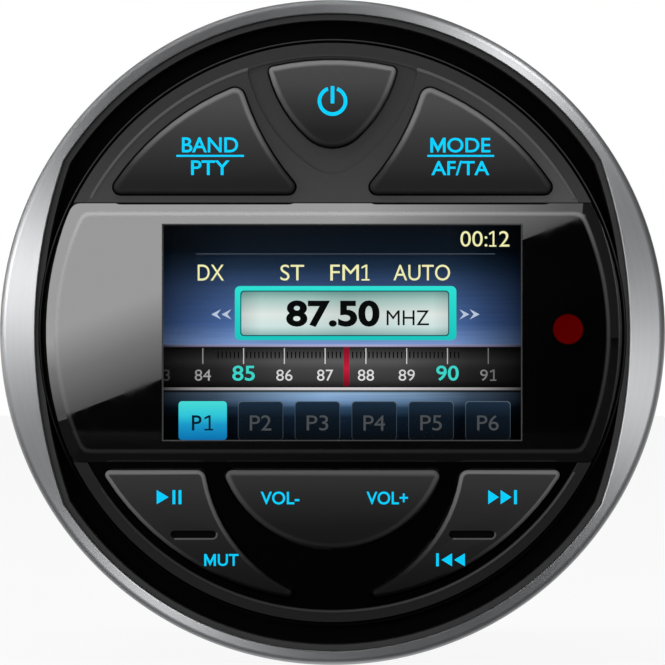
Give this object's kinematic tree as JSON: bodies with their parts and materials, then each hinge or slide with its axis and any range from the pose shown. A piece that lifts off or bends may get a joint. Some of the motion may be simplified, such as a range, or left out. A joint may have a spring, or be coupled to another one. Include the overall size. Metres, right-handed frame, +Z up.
{
  "type": "marine stereo",
  "caption": "Round flush-mount marine stereo: silver-ringed face with a colour display, push keys and rocker keys, sealed barrel with cooling fins, and a rear clamp bracket on wing nuts.",
  "frame": {"origin": "centre of the barrel in the plane of the dash, where the gasket seats", "axes": "+Y along the barrel's axis, away from the face into the dash; +Z up; +X to the right seen from the front"},
  "size_m": [0.12, 0.1066, 0.12],
  "materials": {
    "silver": "circular brushed",
    "grey_lip": "satin",
    "black_plastic": "fine grain",
    "seal_rubber": "matt",
    "fascia": "satin",
    "lens": "gloss",
    "window": "clear",
    "remote_red": "dark tinted",
    "screen": "lit",
    "plated_steel": "zinc plated",
    "stainless": "drawn",
    "foam": "foam",
    "board_green": "satin",
    "part_black": "moulded",
    "lamp_white": "clear",
    "mat_silicone": "matt",
    "upper_key": "satin",
    "rocker": "semi gloss",
    "brass": "plated",
    "cover_metal": "cast, painted dark",
    "pad_blue": "matt",
    "cap_sleeve": "sleeved",
    "choke_wire": "enamelled",
    "module_blue": "satin",
    "ribbon_grey": "satin"
  },
  "bodies": {
    "housing": {"trim_ring": "silver", "channel_lip": "grey_lip", "front_frame": "black_plastic", "dash_gasket": "seal_rubber", "fascia_seal": "seal_rubber", "fascia": "fascia", "lens_panel": "lens", "display_window": "window", "remote_window": "remote_red", "lcd_panel": "screen", "lcd_frame": "plated_steel", "display_cushion": "foam", "front_board": "board_green", "key_switches": "part_black", "key_lamps": "lamp_white", "remote_receiver": "part_black", "upper_key_mat": "mat_silicone", "lower_key_mat": "mat_silicone", "rocker_pins": "stainless", "fascia_screws": "plated_steel", "front_board_screws": "plated_steel", "frame_screws": "plated_steel", "barrel_seal": "seal_rubber", "barrel": "black_plastic", "rear_seal": "seal_rubber", "rear_cover": "cover_metal", "rear_screws": "plated_steel", "board_standoffs": "brass", "board_screws": "plated_steel", "main_board": "board_green", "amplifier_chip": "part_black", "thermal_pad": "pad_blue", "filter_capacitors": "cap_sleeve", "power_choke": "choke_wire", "tuner_can": "plated_steel", "wireless_module": "module_blue", "control_chip": "part_black", "ribbon_cable": "ribbon_grey", "ribbon_headers": "part_black", "wiring_socket": "black_plastic", "wiring_blades": "brass", "aerial_socket": "plated_steel", "line_out_jacks": "brass", "bracket_studs": "stainless"},
    "power_key": {"power_key": "upper_key"},
    "band_key": {"band_key": "upper_key"},
    "mode_key": {"mode_key": "upper_key"},
    "play_rocker": {"play_rocker": "rocker"},
    "volume_rocker": {"volume_rocker": "rocker"},
    "seek_rocker": {"seek_rocker": "rocker"},
    "clamp": {"clamp_bracket": "stainless", "bracket_feet": "seal_rubber", "flat_washers": "stainless", "spring_washers": "stainless"},
    "left_nut": {"left_wing_nut": "stainless"},
    "right_nut": {"right_wing_nut": "stainless"}
  },
  "joints": [
    {"name": "power_press", "type": "slide", "parent": "housing", "child": "power_key", "axis": [0, 1, 0], "range_m": [0, 0.0006], "stiffness_N_per_m": 3000, "deforming": ["upper_key_mat"]},
    {"name": "band_press", "type": "slide", "parent": "housing", "child": "band_key", "axis": [0, 1, 0], "range_m": [0, 0.0006], "stiffness_N_per_m": 3000, "deforming": ["upper_key_mat"]},
    {"name": "mode_press", "type": "slide", "parent": "housing", "child": "mode_key", "axis": [0, 1, 0], "range_m": [0, 0.0006], "stiffness_N_per_m": 3000, "deforming": ["upper_key_mat"]},
    {"name": "play_rock", "type": "hinge", "parent": "housing", "child": "play_rocker", "pos_m": [-0.0251, -0.0104, -0.0364], "axis": [1, 0, 0], "range_deg": [-3, 3], "stiffness_Nm_per_rad": 0.3, "deforming": ["lower_key_mat"]},
    {"name": "volume_rock", "type": "hinge", "parent": "housing", "child": "volume_rocker", "pos_m": [0, -0.0104, -0.0318], "axis": [0, 0, 1], "range_deg": [-2.5, 2.5], "stiffness_Nm_per_rad": 0.5, "deforming": ["lower_key_mat"]},
    {"name": "seek_rock", "type": "hinge", "parent": "housing", "child": "seek_rocker", "pos_m": [0.0251, -0.0104, -0.0364], "axis": [1, 0, 0], "range_deg": [-3, 3], "stiffness_Nm_per_rad": 0.3, "deforming": ["lower_key_mat"]},
    {"name": "clamp_slide", "type": "slide", "parent": "housing", "child": "clamp", "axis": [0, 1, 0], "range_m": [-0.004, 0.004]},
    {"name": "left_nut_turn", "type": "hinge", "parent": "clamp", "child": "left_nut", "pos_m": [-0.032, 0.0797, 0], "axis": [0, 1, 0], "range_deg": [-1800, 1800]},
    {"name": "right_nut_turn", "type": "hinge", "parent": "clamp", "child": "right_nut", "pos_m": [0.032, 0.0797, 0], "axis": [0, 1, 0], "range_deg": [-1800, 1800]}
  ],
  "couplings": [
    {"joint": "left_nut_turn", "follows": "clamp_slide", "rad_per_m": 7854},
    {"joint": "right_nut_turn", "follows": "clamp_slide", "rad_per_m": 7854}
  ]
}
